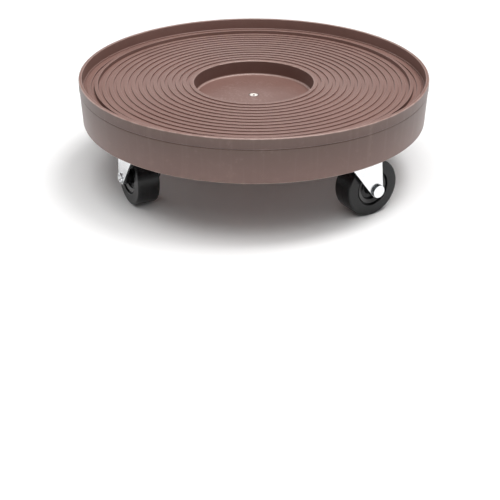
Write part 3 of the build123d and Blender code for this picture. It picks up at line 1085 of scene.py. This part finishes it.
fork_mesh = thickened(fork(), sheet, cut_edge)
for side in swivel_angles:
    one = bmesh.new()
    one.from_mesh(fork_mesh)
    fit_piece(f"pressed_fork_{side}", one, fork_steel, f"fork_{side}",
              [f"yoke_{side}"], fork_place(side))

# ---------------------------------------------------------------------------------------
# Axles: a steel rivet through both legs and the wheel's hub. One end has a flat factory head,
# and the other is hollow and rolled over against the leg.
axle_radius = 3.0
flat_head_radius = 6.2
flat_head_height = 2.6
rolled_radius = 5.0
rolled_height = 1.6
hollow_radius = 2.6
hollow_depth = 0.8
core_radius = 1.6
core_height = 0.7

axle_corners = rounded([
    (0, -leg_outer - flat_head_height, 0), (flat_head_radius, -leg_outer - flat_head_height, 0.45),
    (flat_head_radius, -leg_outer, 0.3), (axle_radius, -leg_outer, 0), (axle_radius, leg_outer, 0),
    (rolled_radius, leg_outer + 0.1, 0.3), (rolled_radius, leg_outer + rolled_height, 0.9),
    (hollow_radius + 0.6, leg_outer + rolled_height, 0.7),
    (hollow_radius, leg_outer - hollow_depth, 0.3), (core_radius + 0.3, leg_outer - hollow_depth, 0.3),
    (core_radius, leg_outer + core_height, 0.5), (0, leg_outer + core_height, 0),
], steps=5)
axle_steel = steel_finish("turned_axle_steel", *rivet_tones, 0.12, 1100.0,
                          shade_beyond=flat_head_radius - 0.1)
z_to_y = Matrix(((1, 0, 0, 0), (0, 0, 1, 0), (0, -1, 0, 0), (0, 0, 0, 1)))


def axle_place(side):
    """An axle's own frame: at the tips of its fork's legs, with Z along the axle."""
    return fork_place(side) @ Matrix.Translation((axle_trail, 0, -axle_drop)) @ z_to_y


for side in swivel_angles:
    fit_piece(f"axle_rivet_{side}", turned(axle_corners, 64), axle_steel, f"fork_{side}",
              [f"axle_{side}"], axle_place(side))

# ---------------------------------------------------------------------------------------
# Wheels: hard glossy black rubber, moulded in one with the hub. A fine parting line runs
# round the middle of the tread, and each side is stepped in from a flat ring.
wheel_radius = 27.6
tread_half = 10.8
hub_half = 15.1
hub_radius = 6.6
ring_inner_radius = 16.95
ledge_inner_radius = 11.55
ledge_depth = 1.6
recess_depth = 4.6
seam_height = 0.14
axle_clearance = 0.08

black_rubber, rubber_shader, on_wheel = start_finish("glossy_black_rubber", IOR=1.39)
smear = on_wheel.noise(70.0, detail=4.0, roughness=0.6)
scuff = on_wheel.stretched(1.0, 1.0, 9.0).noise(260.0, detail=4.0, roughness=0.7).between(0.62, 0.78)
from_axle = on_wheel.from_axis()
tread_scuff = scuff * from_axle.past(wheel_radius - 1.0, wheel_radius - 0.4)
rubber_fine = on_wheel.noise(1800.0, detail=2.0)
rubber_tone = smear.between(0.3, 0.75).mix(colour(17, 17, 18), colour(26, 26, 27))
# The stepped ledge is painted grey: a painted highlight for the light its slope catches
on_ledge = from_axle.past(ledge_inner_radius + 0.2, ledge_inner_radius + 0.8)
on_ledge = on_ledge * from_axle.short_of(ring_inner_radius - 1.9, ring_inner_radius - 1.4)
ledge_highlight = on_ledge * (0.55 + smear * 0.5)
feed(
    rubber_shader,
    Base_Color=(tread_scuff * 0.45 + ledge_highlight * 0.80).mix(rubber_tone, colour(84, 83, 83)),
    Roughness=0.17 + smear * 0.14 + tread_scuff * 0.22,
    Normal=bump(rubber_fine, 0.10, 0.00004),
)
one_side = [
    (axle_radius + axle_clearance, hub_half, 0.3), (hub_radius, hub_half, 0.8),
    (hub_radius + 0.2, tread_half - recess_depth, 1.0),
    (ledge_inner_radius - 0.3, tread_half - recess_depth, 0.8),
    (ledge_inner_radius, tread_half - ledge_depth - 0.8, 0.8),
    (ring_inner_radius - 1.5, tread_half - ledge_depth + 0.6, 0.5),
    (ring_inner_radius - 1.2, tread_half - ledge_depth - 1.0, 0.3),
    (ring_inner_radius - 0.1, tread_half - ledge_depth - 1.0, 0.3),
    (ring_inner_radius, tread_half, 0.5), (wheel_radius - seam_height, tread_half, 1.5),
    (wheel_radius - seam_height, 0.45, 0.1), (wheel_radius, 0.15, 0.1),
]
wheel_corners = [(r, -h, c) for r, h, c in one_side] + [(r, h, c) for r, h, c in reversed(one_side)]
wheel_outline = rounded(wheel_corners, steps=4, closed=True)
for side in swivel_angles:
    fit_piece(f"rubber_wheel_{side}", turned(wheel_outline, 128, closed=True), black_rubber,
              f"roller_{side}", [f"wheel_{side}"], axle_place(side))
